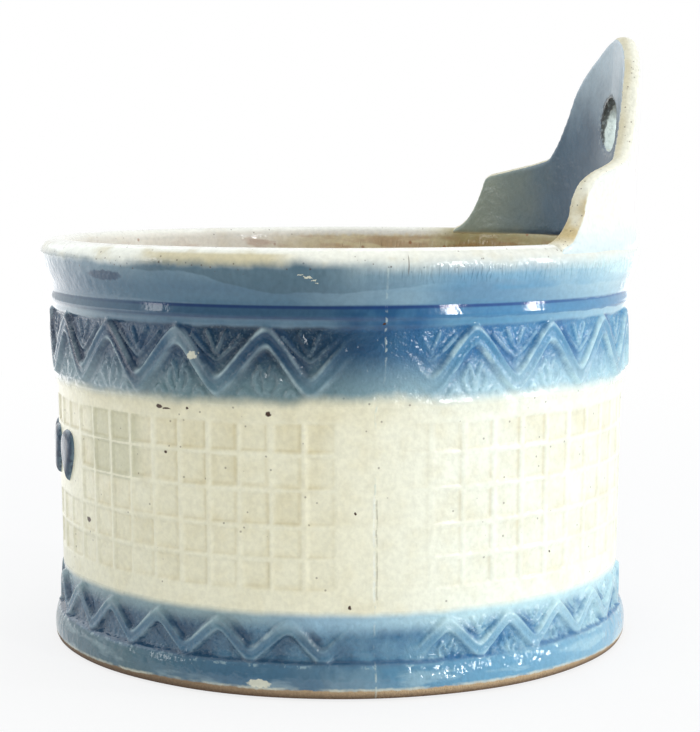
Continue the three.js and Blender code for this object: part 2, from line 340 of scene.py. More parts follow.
def ribbon_slope(ribbon, run):
    return math.atan2(ribbon_rise(ribbon), arc_mm(run.pitch / 2, BODY_RADIUS + ribbon.ground))


def rounded_corners(climb):
    """A zigzag from 0 to 1, its corners rounded, for numbers and for tones."""
    if isinstance(climb, Tone):
        wave = (climb * math.pi).math("COSINE") * CORNER_ROUND
        return 0.5 - wave.math("ARCSINE") * (0.5 / math.asin(CORNER_ROUND))
    wave = np.arcsin(np.cos(climb * math.pi) * CORNER_ROUND)
    return 0.5 - wave * (0.5 / math.asin(CORNER_ROUND))


def past_peak(run, offset):
    """Where a point lies from valley (0) to valley (1), less the peak's place."""
    return (offset - run.first) / run.pitch % 1 - run.peak_share


def ribbon_across(ribbon, run, offset, level):
    """How far a point lies above the ribbon's middle line, square to its limbs."""
    past = past_peak(run, offset)
    rising, falling = 1 / run.peak_share, 1 / (1 - run.peak_share)
    climb = 1 + past * ((rising - falling) / 2) - abs(past) * ((rising + falling) / 2)
    climb = rounded_corners(climb)
    middle = climb * ribbon_rise(ribbon) + (ribbon.valley + ribbon.upright / 2)
    turning = climb * (1 - climb) * (-4 * (CORNER_WIDTH - 1)) + CORNER_WIDTH
    return (level - middle) * turning * math.cos(ribbon_slope(ribbon, run))


def falling_limb(run, offset, way):
    """1 on the limbs that fall as turns grow, 0 on those that rise, soft at the corners."""
    past = past_peak(run, offset)
    rising, falling = 1 / run.peak_share, 1 / (1 - run.peak_share)
    angle = (past * ((rising + falling) / 2) + abs(past) * ((falling - rising) / 2)) * math.pi
    return angle.math("SINE").step(-LIMB_BLEND * way, LIMB_BLEND * way)


def ribbon_half_width(ribbon, run):
    return ribbon.upright / 2 * math.cos(ribbon_slope(ribbon, run))


def sway(turn, level):
    """The slight unevenness of a pressed and hand-finished wall, in mm."""
    angle = np.radians(turn)
    rise = level / RIM_LEVEL
    slow = 0.22 * np.sin(2 * angle + 0.6) * rise + 0.12 * np.sin(3 * angle + 2.1)
    return slow + 0.08 * np.sin(7 * angle + 4 * rise) + 0.05 * np.sin(13 * angle - 6 * rise)


def bezier(points, steps):
    """Points along the Bezier curve of a few given points."""
    points = [np.array(point, float)[None, :] for point in points]
    share = np.linspace(0, 1, steps)[:, None]
    while len(points) > 1:
        points = [first * (1 - share) + second * share for first, second in zip(points, points[1:])]
    return points[0]


def strokes_relief(strokes, across, up, width, height):
    """Relief of a sprig's strokes on both sides of its middle, from 0 to 1."""
    relief = np.zeros_like(across)
    stroke_width = STROKE_SHARE * (width + height) / 2
    for stroke in strokes:
        line = bezier([(x * width, y * height) for x, y in stroke], 14)
        nearest = np.full_like(across, 1e3)
        for x, y in line:
            nearest = np.minimum(nearest, np.hypot(np.abs(across) - x, up - y))
        relief = np.maximum(relief, 1 - smooth_step(nearest, 0.3 * stroke_width, 1.9 * stroke_width))
    return relief


def ribbon_relief(ribbon, run, half, offset, level, leaves=1):
    """Relief of one band in mm, and how much of it is sprig."""
    across = ribbon_across(ribbon, run, offset, level)
    half_width = ribbon_half_width(ribbon, run)
    face = 1 - smooth_step(abs(across), half_width - 0.2, half_width + ribbon.flank)
    dish = ribbon.dish * smooth_step(abs(across), 0.2, half_width - 0.4)
    past = past_peak(run, offset)
    width, height = arc_mm(run.pitch / 2), ribbon_rise(ribbon)
    from_peak = past * width * 2
    from_valley = ((past + run.peak_share + 0.5) % 1 - 0.5) * width * 2
    up = level - ribbon.valley
    under = strokes_relief(CURLS_UNDER_PEAK, from_peak, up, width, height)
    over = strokes_relief(LEAVES_OVER_VALLEY, from_valley, up - ribbon.upright, width, height)
    clear = smooth_step(abs(across), half_width + 0.3, half_width + 1)
    sprig = np.where(across < 0, under, over) * clear * leaves
    inside = plateau(level, ribbon.valley - 0.7, ribbon.valley, ribbon.peak - 0.2, ribbon.peak + 0.6)
    fade = smooth_step(seam_distance(offset), *half.fade)
    shown = plateau(level, *ribbon.shown)
    ribbon_height = (ribbon.relief - ribbon.dish + dish) * face
    sprig = sprig * inside
    return (ribbon_height + STROKE_RELIEF * sprig) * fade * shown, sprig * fade * shown


def grid_relief(half, turn, offset, level):
    """Relief of the waffle grid in mm, where its upright ribs are, and where its cells are tan."""
    column = (offset - half.first_rib) / half.rib_pitch
    pitch = arc_mm(half.rib_pitch)
    last = math.floor((HALF_TURN - 2 * half.first_rib) / half.rib_pitch)
    nearest_rib = np.clip(np.round(column), 0, last)
    wobble = 0.18 * np.sin(2.3 * nearest_rib) * np.sin(level / 11 + nearest_rib)
    to_upright = abs(column - nearest_rib) * pitch + wobble
    rows = np.array(ROW_LEVELS)
    to_row = np.min(np.abs(level[..., None] - rows), axis=-1) + 0.12 * np.sin(1.7 * column)
    pane = smooth_step(to_upright, UPRIGHT_RIB_HALF_WIDTH - 0.2, UPRIGHT_RIB_HALF_WIDTH + 0.35)
    pane *= smooth_step(to_row, RIB_HALF_WIDTH - 0.2, RIB_HALF_WIDTH + 0.35)
    in_rows = (level > ROW_LEVELS[0]) & (level < ROW_LEVELS[-1])
    in_columns = (column > 0) & (column < last)
    in_field = (abs(turn) < FIELD_HALF_TURN) & (level > FIELD_LEVELS[0]) & (level < FIELD_LEVELS[1])
    in_grid = in_rows & in_columns & ~in_field
    pane = np.where(in_grid, pane, 0) * smooth_step(seam_distance(offset), *half.worn)
    rib = (1 - smooth_step(to_upright, 0.3, 0.8)) * in_grid
    row = np.digitize(level, rows)
    # Each cell has a number of its own, and a tone from 0 to 1 that goes with it
    number = np.floor(column) + 40 * row
    tone = np.modf(abs(np.sin(number * 12.9898) * 437.585))[0]
    from_right = column % 1 * pitch if half.way < 0 else (1 - column % 1) * pitch
    from_foot = level - rows[np.clip(row - 1, 0, len(rows) - 1)]
    pooled = 1 - smooth_step(np.minimum(from_right, from_foot + 0.2), 0.7, 1.9)
    tan = np.clip(TAN_SHARE * tone + TAN_TOP_ROW * (row == len(rows) - 1) + TAN_POOLED * pooled, 0, 1)
    return -half.cell_depth * pane * (0.8 + 0.4 * tone), rib, tan * pane


def softened(corners, step=0.1):
    """A closed outline through the corners, resampled finely and with its corners blurred."""
    loop = np.array(corners + corners[:1], float)
    lengths = np.append(0, np.cumsum(np.hypot(*np.diff(loop, axis=0).T)))
    count = int(lengths[-1] / step)
    places = np.linspace(0, lengths[-1], count, endpoint=False)
    fine = np.stack([np.interp(places, lengths, loop[:, axis]) for axis in (0, 1)], axis=1)
    reach = int(4 * CORNER_BLUR / step)
    weights = np.exp(-((np.arange(-reach, reach + 1) * step / CORNER_BLUR) ** 2) / 2)
    weights /= weights.sum()
    padded = np.concatenate([fine[-reach:], fine, fine[:reach]])
    return np.stack([np.convolve(padded[:, axis], weights, "valid") for axis in (0, 1)], axis=1)


def wall_stations():
    """The wall's section as (stand, level, 1 where it faces out), dense where there is relief."""
    outline = softened(FOOT_SECTION + BAND_SECTION + BEAD_SECTION + RIM_SECTION + INSIDE_SECTION)
    stand, level = outline.T
    outer = (stand > -0.9) & (level > 0.3) & (level < RIM_LEVEL - 0.6)
    to_row = np.min(np.abs(level[:, None] - np.array(ROW_LEVELS)), axis=1)
    inside = ~outer & (level < RIM_LEVEL - 6)
    plain = (level > PLAIN_RIM) | (level < PLAIN_FOOT)
    banded = (level < ROW_LEVELS[0] - 4) | (level > ROW_LEVELS[-1] + 3)
    steps = [INSIDE_STEP, RIM_STEP, BAND_STEP, RIB_STEP]
    step = np.select([inside, plain, banded, to_row < RIB_REACH], steps, CELL_STEP)
    closed = np.concatenate([outline, outline[:1]])
    lengths = np.hypot(*np.diff(closed, axis=0).T)
    counted = np.append(0, np.cumsum(lengths / step))
    wanted = np.linspace(0, counted[-1], int(counted[-1]), endpoint=False)
    columns = np.column_stack([closed, np.append(outer, outer[0])])
    return np.stack([np.interp(wanted, counted, columns[:, axis]) for axis in range(3)], axis=1)


def placed(radius, turn, level):
    """Points in mm from radii, turns and levels."""
    angle = np.radians(turn)
    return np.stack([radius * np.sin(angle), -radius * np.cos(angle), level + 0 * radius], axis=-1)


def grid_faces(columns, rows, join_columns=False, join_rows=True):
    """Faces of a grid of points, the last row or column joined to the first if asked."""
    faces = []
    for column in range(columns if join_columns else columns - 1):
        here, there = column * rows, (column + 1) % columns * rows
        for row in range(rows if join_rows else rows - 1):
            after = (row + 1) % rows
            faces.append((here + row, here + after, there + after, there + row))
    return faces


def tube_faces(columns, rows):
    """Faces of a closed tube: its grid, and an end of one face at either side."""
    ends = [tuple(range(rows)), tuple(range(rows * columns - 1, rows * (columns - 1) - 1, -1))]
    return grid_faces(columns, rows) + ends


def closed_mesh(name, points, faces):
    """A mesh whose faces all look outward."""
    mesh = bpy.data.meshes.new(name)
    mesh.from_pydata(points.reshape(-1, 3).tolist(), [], faces)
    shape = bmesh.new()
    shape.from_mesh(mesh)
    bmesh.ops.recalc_face_normals(shape, faces=shape.faces)
    shape.to_mesh(mesh)
    shape.free()
    return mesh


def add_object(name, data):
    """A new object, in the scene."""
    added = bpy.data.objects.new(name, data)
    bpy.context.scene.collection.objects.link(added)
    return added


def make_piece(name, points, faces, material, replaced, tones=None, sharp_angle=50):
    """A mesh piece on the crock's one body, in place of the frame's own solid."""
    mesh = closed_mesh(name, points * MM, faces)
    for tone_name, values in (tones or {}).items():
        attribute = mesh.attributes.new(tone_name, "FLOAT", "POINT")
        attribute.data.foreach_set("value", np.asarray(values, np.float32).ravel())
    mesh.shade_smooth()
    mesh.set_sharp_from_angle(angle=math.radians(sharp_angle))
    mesh.materials.append(material)
    piece = add_object(name, mesh)
    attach(piece, "root")
    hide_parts(replaced)


def wall_half(half, material):
    """One moulded half of the wall with its relief, closed at the two seams."""
    stations = wall_stations()
    turn = np.linspace(half.start, half.start + HALF_TURN, WALL_COLUMNS)[:, None]
    stand, level, outer = (stations[:, axis][None, :] for axis in range(3))
    offset = offset_from_seam(half, turn) + 0 * level
    level = level + 0 * turn
    outward = smooth_step(outer, 0.4, 0.9)
    upper, upper_sprig = ribbon_relief(UPPER_RIBBON, half.upper, half, offset, level)
    lower, lower_sprig = ribbon_relief(LOWER_RIBBON, half.lower, half, offset, level, half.lower_leaves)
    grid, rib, cell = grid_relief(half, turn, offset, level)
    radius = BODY_RADIUS + stand + (upper + lower + grid) * outward + sway(turn, level)
    tones = {
        "sprig": (upper_sprig + lower_sprig) * outward,
        "rib": rib * outward,
        "cell": cell * outward,
        "outer": outward + 0 * turn,
    }
    points = placed(radius, turn, level)
    faces = tube_faces(WALL_COLUMNS, len(stations))
    make_piece(half.name + "_glazed", points, faces, material, half.name, tones)


# The floor: its thickness, the cove up to the wall and the slight dish of a hand-beaten slab
FLOOR_THICKNESS = 7
FLOOR_COVE = 6.5
FLOOR_DISH = 0.7
FLOOR_SEAT = 0.35
FLOOR_COLUMNS = 180
FLOOR_EYE = 2


def floor_slab(material):
    """The round floor, dished up to the wall inside and flat underneath."""
    edge = FLOOR_RADIUS + FLOOR_SEAT
    inner_edge = edge - FLOOR_COVE
    cove = [
        (edge, FLOOR_THICKNESS + FLOOR_COVE),
        (edge - 0.4, FLOOR_THICKNESS),
        (inner_edge, FLOOR_THICKNESS - 0.1),
    ]
    inward = np.linspace(inner_edge - 3, FLOOR_EYE, 18)
    top = [(r, FLOOR_THICKNESS - FLOOR_DISH * (1 - (r / edge) ** 2)) for r in inward]
    under = [(r, 0.0) for r in np.linspace(FLOOR_EYE, edge - 0.5, 20)]
    section = np.array(under + [(edge, 0.5)] + bezier(cove, 10).tolist() + top)
    turn = np.linspace(0, FULL_TURN, FLOOR_COLUMNS, endpoint=False)[:, None]
    radius, level = section[:, 0][None, :], section[:, 1][None, :]
    points = placed(radius + 0 * turn, turn, level + 0 * turn)
    rows = len(section)
    faces = grid_faces(FLOOR_COLUMNS, rows, join_columns=True, join_rows=False)
    eye = range(0, FLOOR_COLUMNS * rows, rows)
    faces += [tuple(eye), tuple(first + rows - 1 for first in eye)]
    make_piece("floor_slab", points, faces, material, "floor_disc")


# Hanging crest: half widths are measured along its inner face
CREST_RADIUS = 69.6
CREST_THICKNESS = 4.4
CREST_LEAN = 0.038
CREST_FOOT = 97.6
CREST_SEAM_LEVEL = 99.9
CREST_SEAM_SLOPE = 0.7
CREST_EDGE_ROUND = 1.4
TOE = (67, 101)
SHOULDER = (57.3, 116)
NECK = (33.6, 120.9)
BROW = (24.3, 136.4)
NEAR_SHOULDER_ROUND = 8
FAR_SHOULDER_ROUND = 2
LUTE_SPREAD = 1.5
LUTE_RISE = 3
NAIL_HOLE_RADIUS = 6.7
NAIL_HOLE_LEVEL = 129.5
CREST_VOXEL = 0.55
CREST_STEP = 1.1


def crest_radius(level):
    """The radius of the crest's inner face, which leans out a little."""
    return CREST_RADIUS + CREST_LEAN * (level - RIM_LEVEL)


def crest_edge(shoulder_round):
    """The crest's edge from the toe to the point, as (along, level)."""
    below = (SHOULDER[0] + 0.12 * shoulder_round, SHOULDER[1] - shoulder_round)
    run, rise = SHOULDER[0] - NECK[0], NECK[1] - SHOULDER[1]
    ledge = math.hypot(run, rise)
    past = (SHOULDER[0] - shoulder_round * run / ledge, SHOULDER[1] + shoulder_round * rise / ledge)
    point = (0, CREST_LEVEL)
    before_neck = (NECK[0] + 1.5, NECK[1] - 0.3)
    after_neck = (NECK[0] - 0.8, NECK[1] + 1.2)
    curves = [
        [TOE, (TOE[0] - 5.7, TOE[1] + 1.6), below],
        [below, SHOULDER, past],
        [past, before_neck],
        [before_neck, NECK, after_neck],
        [after_neck, (NECK[0] - 4.6, NECK[1] + 5.4), BROW],
        [BROW, (BROW[0] - 2.3, BROW[1] + 5.9), (BROW[0] - 15.3, CREST_LEVEL - 0.8), point],
    ]
    edge = [np.array([TOE], float)]
    for curve in curves:
        reach = math.dist(curve[0], curve[-1])
        edge.append(bezier(curve, max(3, int(reach / CREST_STEP)))[1:])
    return np.concatenate(edge)


def crest_plate():
    """The crest as a closed loft of upright sections."""
    near = crest_edge(NEAR_SHOULDER_ROUND)
    far = crest_edge(FAR_SHOULDER_ROUND)[::-1][1:] * (-1, 1)
    sections = []
    for along, top in np.concatenate([near, far]):
        rise = np.linspace(CREST_FOOT, top - CREST_EDGE_ROUND, 12)
        spread = LUTE_SPREAD * np.exp(-np.maximum(rise - RIM_LEVEL, 0) / LUTE_RISE)
        outer = list(zip(CREST_THICKNESS + spread, rise))
        crown = bezier([outer[-1], (CREST_THICKNESS, top), (CREST_THICKNESS / 2, top + 0.15)], 5)[1:]
        brow = bezier([crown[-1], (0, top), (0, top - CREST_EDGE_ROUND)], 5)[1:]
        inner = [(max(CREST_SEAM_LEVEL - z, 0) * CREST_SEAM_SLOPE, z) for z in rise[::-1][1:]]
        ring = np.concatenate([outer, crown, brow, inner])
        turn = HALF_TURN - math.degrees(along / CREST_RADIUS)
        sections.append(placed(crest_radius(ring[:, 1]) + ring[:, 0], turn, ring[:, 1]))
    points = np.array(sections)
    return points, tube_faces(*points.shape[:2])


def nail_hole_cutter():
    """A rough-walled pin that leaves the nail hole."""
    count, depths = 48, 9
    points = []
    middle = crest_radius(NAIL_HOLE_LEVEL)
    for depth in np.linspace(middle - 6, middle + 12, depths):
        for angle in 2 * math.pi * np.arange(count) / count:
            across, up = math.cos(angle), math.sin(angle)
            ragged = noise.noise(Vector((3 * across, 3 * up, depth / 3)))
            nick = noise.noise(Vector((9 * across, 9 * up, depth / 2)))
            radius = NAIL_HOLE_RADIUS * (1 + 0.05 * ragged + 0.03 * nick)
            points.append((radius * across, depth, NAIL_HOLE_LEVEL + radius * up))
    return np.array(points), tube_faces(depths, count)


def pierced_plate():
    """The crest's plate with its hole, evenly meshed and worn: points, normals and faces."""
    plate = add_object("plate", closed_mesh("plate", *crest_plate()))
    pin = add_object("pin", closed_mesh("pin", *nail_hole_cutter()))
    cut = plate.modifiers.new("nail_hole", "BOOLEAN")
    cut.operation = "DIFFERENCE"
    cut.solver = "EXACT"
    cut.object = pin
    even = plate.modifiers.new("even", "REMESH")
    even.mode = "VOXEL"
    even.voxel_size = CREST_VOXEL
    worn = plate.modifiers.new("worn", "SMOOTH")
    worn.factor = 0.5
    worn.iterations = 4
    shaped = plate.evaluated_get(bpy.context.evaluated_depsgraph_get()).to_mesh()
    points, normals = np.empty((2, len(shaped.vertices) * 3))
    shaped.vertices.foreach_get("co", points)
    shaped.vertex_normals.foreach_get("vector", normals)
    faces = [tuple(face.vertices) for face in shaped.polygons]
    plate.to_mesh_clear()
    for helper in (plate, pin):
        bpy.data.objects.remove(helper)
    return points.reshape(-1, 3), normals.reshape(-1, 3), faces


def hanging_crest(material):
    """The crest, its edges soft and its surface uneven."""
    points, normals, faces = pierced_plate()
    outward = points * (1, 1, 0) / np.hypot(points[:, 0], points[:, 1])[:, None]
    facing = np.sum(normals * outward, axis=1)
    edge = 1 - smooth_step(np.abs(facing), 0.55, 0.95)
    wear = [0.16 * noise.noise(Vector(p) / 6) + 0.07 * noise.noise(Vector(p) / 1.6) for p in points]
    points = points + normals * (np.array(wear) * (0.4 + 0.8 * edge))[:, None]
    tones = {"edge": edge, "outside": smooth_step(facing, -0.2, 0.2)}
    make_piece(
        "crest_glazed", points, faces, material, "hanging_crest", tones, sharp_angle=80
    )


# The drops on the front, pendant and domed
DROP_COUNT = 4
DROP_PITCH = 13.1
DROP_WIDTH = 9.4
DROP_HEIGHT = 13
DROP_LEVEL = 48.4
DROP_RELIEF = 1.7
DROP_SKIRT = 0.3
DROP_RINGS = 12
DROP_POINTS = 16
DROP_TUCK = 0.985
DROP_GROUND = ([18.6, 40, 65.8], [0, 0.3, 0.75])


def front_drop(index, material):
    """One raised drop, wide above and pointed below, sprigged on the plain field."""
    wide, high = DROP_WIDTH / 2, DROP_HEIGHT / 2
    belly, waist = 0.44 * high, -0.24 * high
    right = [[(0, -high), (wide, waist), (wide, belly)], [(wide, belly), (wide, high), (0, high)]]
    side = np.concatenate([bezier(curve, DROP_POINTS)[:-1] for curve in right])
    outline = np.concatenate([side, side[::-1] * (-1, 1)])
    turn_here = (index - (DROP_COUNT + 1) / 2) * math.degrees(DROP_PITCH / BODY_RADIUS)
    rings = []
    for share in np.arange(DROP_RINGS + 1) / DROP_RINGS:
        rise = DROP_RELIEF * (1 - share**5) ** 0.6 - DROP_SKIRT
        level = DROP_LEVEL + outline[:, 1] * share
        turn = turn_here + np.degrees(outline[:, 0] * share / BODY_RADIUS)
        stand = np.interp(level, *DROP_GROUND)
        rings.append(placed(BODY_RADIUS + stand + sway(turn, level) + rise, turn, level))
    base = rings[-1] * (DROP_TUCK, DROP_TUCK, 1)
    points = np.concatenate([rings[0][:1]] + rings[1:] + [base])
    count = len(outline)
    faces = [(0, 1 + i, 1 + (i + 1) % count) for i in range(count)]
    faces += [tuple(1 + i for i in face) for face in grid_faces(DROP_RINGS + 1, count)]
    faces.append(tuple(range(1 + DROP_RINGS * count, 1 + (DROP_RINGS + 1) * count)))
    name, replaced = f"drop_{index}", f"front_boss_{index}"
    make_piece(name, points, faces, material, replaced, sharp_angle=70)


# Glaze colours, by their look on the crock
CREAM = tint(230, 227, 201)
# Cooler copy of the cream, painted for the lit back half
COOL_CREAM = tint(236, 240, 226)
LIP_WHITE = tint(241, 243, 231)
INNER_LIP_WHITE = tint(252, 254, 246)
# Cooler copy of the lip's white, painted for the lit back half
COOL_LIP = tint(219, 222, 213)
CREAM_TAN = tint(204, 192, 148)
CELL_GREY = tint(184, 184, 152)
IRON = tint(66, 42, 26)
BARE_CLAY = tint(186, 160, 124)
BARE_CLAY_DARK = tint(74, 50, 30)
# Painted shadow beside the ribbons' falling limbs
PAINTED_SHADOW_BLUE = tint(26, 50, 76)
INSIDE_PALE = tint(244, 238, 204)
INSIDE_TAN = tint(206, 166, 112)
INSIDE_OLIVE = tint(162, 154, 102)
INSIDE_RUST = tint(158, 92, 44)
DEEP_BLUE = tint(30, 62, 90)
# Painted dark reflection on the parts that face the camera
DARK_REFLECTION_BLUE = tint(14, 44, 64)
MIDDLE_BLUE = tint(62, 96, 120)
RIM_BLUE = tint(78, 110, 130)
LOW_BLUE = tint(80, 118, 142)
PALE_BLUE = tint(166, 188, 192)
HALO_BLUE = tint(150, 186, 206)
# Edge lines of the fascia: pooled cobalt and painted shadow in the crevices
COBALT_LINE = tint(30, 54, 96)
SEA_GREY = tint(124, 152, 152)
FOOT_GREY = tint(78, 107, 113)
# Lighter, bluer copies of the blues, painted for the brightly lit back half
DEEP_SKY = tint(32, 100, 154)
MIDDLE_SKY = tint(84, 144, 180)
RIM_SKY = tint(98, 142, 172)
LOW_SKY = tint(100, 156, 188)
PALE_SKY = tint(192, 226, 232)
DULL_SKY = tint(160, 178, 176)
SKY_LINE = tint(18, 64, 128)
CREST_DEEP = tint(46, 80, 104)
CREST_BLUE = tint(66, 100, 124)
CREST_GREEN = tint(158, 172, 154)
CREST_SKY = tint(186, 208, 220)
# Painted reflections on the crest's inner face
CREST_REFLECTION_PALE = tint(196, 212, 222)
CREST_WHITE = tint(228, 230, 220)
CREST_COOL = tint(216, 226, 222)
CREST_FOOT_SKY = tint(206, 222, 224)
TOE_TAN = tint(190, 168, 106)
HOLE_PALE = tint(212, 228, 226)
HOLE_GREY = tint(116, 124, 122)
HOLE_DARK = tint(40, 46, 48)
HOLE_CRUMBS = tint(176, 192, 196)
DROP_DEEP = tint(26, 46, 70)
DROP_BLUE = tint(52, 78, 98)
DROP_PALE = tint(120, 146, 156)
PAPER_COOL = tint(236, 238, 241)
PAPER_WHITE = tint(240, 242, 245)

# How far the fine mottle darkens and lightens a colour
MOTTLE_DARK = (0.94, 0.94, 0.94, 1)
MOTTLE_LIGHT = (1.06, 1.06, 1.06, 1)

# Levels at which the wall's colours change, and where its seam runs
BARE_CLAY_TOP = 1.8
BARE_CLAY_SWELL = 0.6
FOOT_TOP = (7.2, 8)
LOWER_BLUE_FADE = (18, 20.3)
UPPER_BLUE_FADE = (64.4, 68.2)
BEAD_START = (83.2, 84.1)
FASCIA = (85.6, 88.1)
RIM_START = (88.2, 88.9)
RIM_CREAM = (96.2, 99)
SOFT_RIM_CREAM = (94.6, 99.6)
SEAM_LINE_TURN = 89.1
SEAM_LINE_STEP = 1.8

# Iron spots, breaks in the glaze, a hairline and a smudge, as (turn, level, half width, half
# height), the sizes in mm
IRON_SPOTS = [
    (48.4, 64.8, 0.75, 0.55),
    (50, 64.3, 1.2, 0.25),
    (54.6, 64.7, 0.35, 0.3),
    (70.2, 64.3, 0.55, 0.65),
    (49.4, 54.2, 0.35, 0.35),
    (84.6, 20.8, 0.35, 0.55),
    (25.2, 34.4, 1.1, 0.7),
    (85.7, 42.2, 0.35, 0.35),
    (126, 29.5, 0.35, 0.3),
    (204, 52, 0.6, 0.45),
    (240, 34, 0.4, 0.6),
    (-38, 30, 0.45, 0.5),
    (90.5, 84.4, 0.35, 0.35),
]
GLAZE_BREAKS = [
    (68.6, 3.6, 2.7, 0.95),
    (56.3, 77, 1.3, 0.9),
    (76.4, 95.3, 0.7, 0.14),
    (77.5, 94.8, 0.7, 0.16),
    (78.5, 94.1, 0.6, 0.16),
    (79.2, 93.5, 0.4, 0.16),
]
RIM_HAIRLINE = (94.3, 97.4, 0.14, 2.3)
RIM_SMUDGE = (37, 94, 6, 1.2)


def spot(turn, level, place):
    """An oval spot on the wall."""
    spot_turn, spot_level, half_width, half_height = place
    across = (turn - spot_turn) * (math.radians(BODY_RADIUS) / half_width)
    up = (level - spot_level) / half_height
    return (across * across + up * up).fall(0.5, 1.3)


def spots(turn, level, places):
    """How much of a surface the spots at several places cover."""
    return sum(spot(turn, level, place) for place in places)


def mottled(glaze, colour):
    """The fine unevenness of a salt glaze, a little darker and lighter by turns."""
    shade = glaze.mix(glaze.noise(1.2, 4).step(0.25, 0.75), MOTTLE_DARK, MOTTLE_LIGHT)
    return glaze.mix(1.0, colour, shade, "MULTIPLY")


def band_colour(glaze, half, ribbon, run, offset, level, blues, noises, shade):
    """A band's ground under its greyer ribbon, palest along left edges, where glaze broke over them and
    a highlight is painted, with painted shadow beside falling limbs.
    """
    ground, face_blue, dark, pale = blues
    cloud, fine = noises
    falls_right = falling_limb(run, offset, half.way)
    across = ribbon_across(ribbon, run, offset, level)
    width = ribbon_half_width(ribbon, run)
    in_band = level.band(ribbon.valley - 0.6, ribbon.peak + 0.3, 0.6)
    in_band = in_band * smooth_step(seam_distance(offset), *half.fade)
    height = level.step(ribbon.valley - 1, ribbon.peak - 3)
    face = abs(across).fall(width - 0.3, width + 0.3) * in_band
    # Dark blue beside the ribbon's flanks: partly cobalt pooled in the hollow, partly painted shade,
    # strongest above falling limbs
    pooled = across.band(width + 0.2, width + 2.4, 0.5) * falls_right
    pooled = across.band(-width - 2, -width - 0.2, 0.5) * (1 - falls_right) * 0.4 + pooled
    # Pale edges: the glaze broke thin over them, and on left edges a highlight is painted as well
    left_pale = fine * 0.4 + cloud.step(0.38, 0.62) * 0.8
    right_pale = cloud.step(0.35, 0.65) * half.right_pale
    below = left_pale * falls_right * ribbon.edge_pale + right_pale * (1 - falls_right)
    above = right_pale * falls_right + left_pale * (1 - falls_right)
    edges = across.near(width, 0.1, 0.8) * above + across.near(-width, 0.1, 0.9) * below
    # Painted shadow on the upper side of falling limbs, as strong as shade asks
    painted_shadow = across.band(-0.3, width + 2, 0.7) * falls_right * shade
    grain = glaze.noise(0.8, 2)
    sprig = glaze.tone("sprig").step(0.2, 0.9) * cloud.step(0.35, 0.6)
    return glaze.layers(
        ground,
        (grain.step(0.52, 0.75) * in_band * half.grain_pale, pale),
        (grain.fall(0.25, 0.45) * in_band * height * 0.6, dark),
        (face * 0.7, face_blue),
        (pooled * (height * 0.6 + 0.4) * in_band * 0.7, dark),
        (painted_shadow * in_band, PAINTED_SHADOW_BLUE),
        (edges * in_band * 0.75, pale),
        (sprig * half.sprig_pale, pale),
    )


